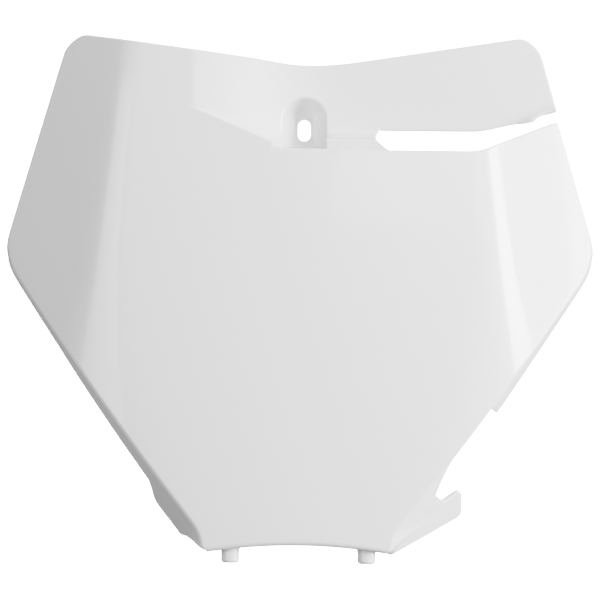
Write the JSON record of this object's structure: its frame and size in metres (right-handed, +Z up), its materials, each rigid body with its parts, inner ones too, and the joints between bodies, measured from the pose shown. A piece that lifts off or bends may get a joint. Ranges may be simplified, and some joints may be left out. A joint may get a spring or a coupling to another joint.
{
  "type": "front racing number board",
  "caption": "Crowned, folded front number board for an off-road motorcycle, with a brake hose slot, a hose hook, a screw boss and locating pegs.",
  "frame": {"origin": "middle of the screw slot, on the rear seat of the screw boss", "axes": "+X to the right as seen from the front, +Z up, +Y from the front face to the back"},
  "size_m": [0.2624, 0.0398, 0.2344],
  "materials": {
    "white_plastic": "gloss"
  },
  "bodies": {
    "root": {"number_board": "white_plastic"}
  },
  "joints": []
}
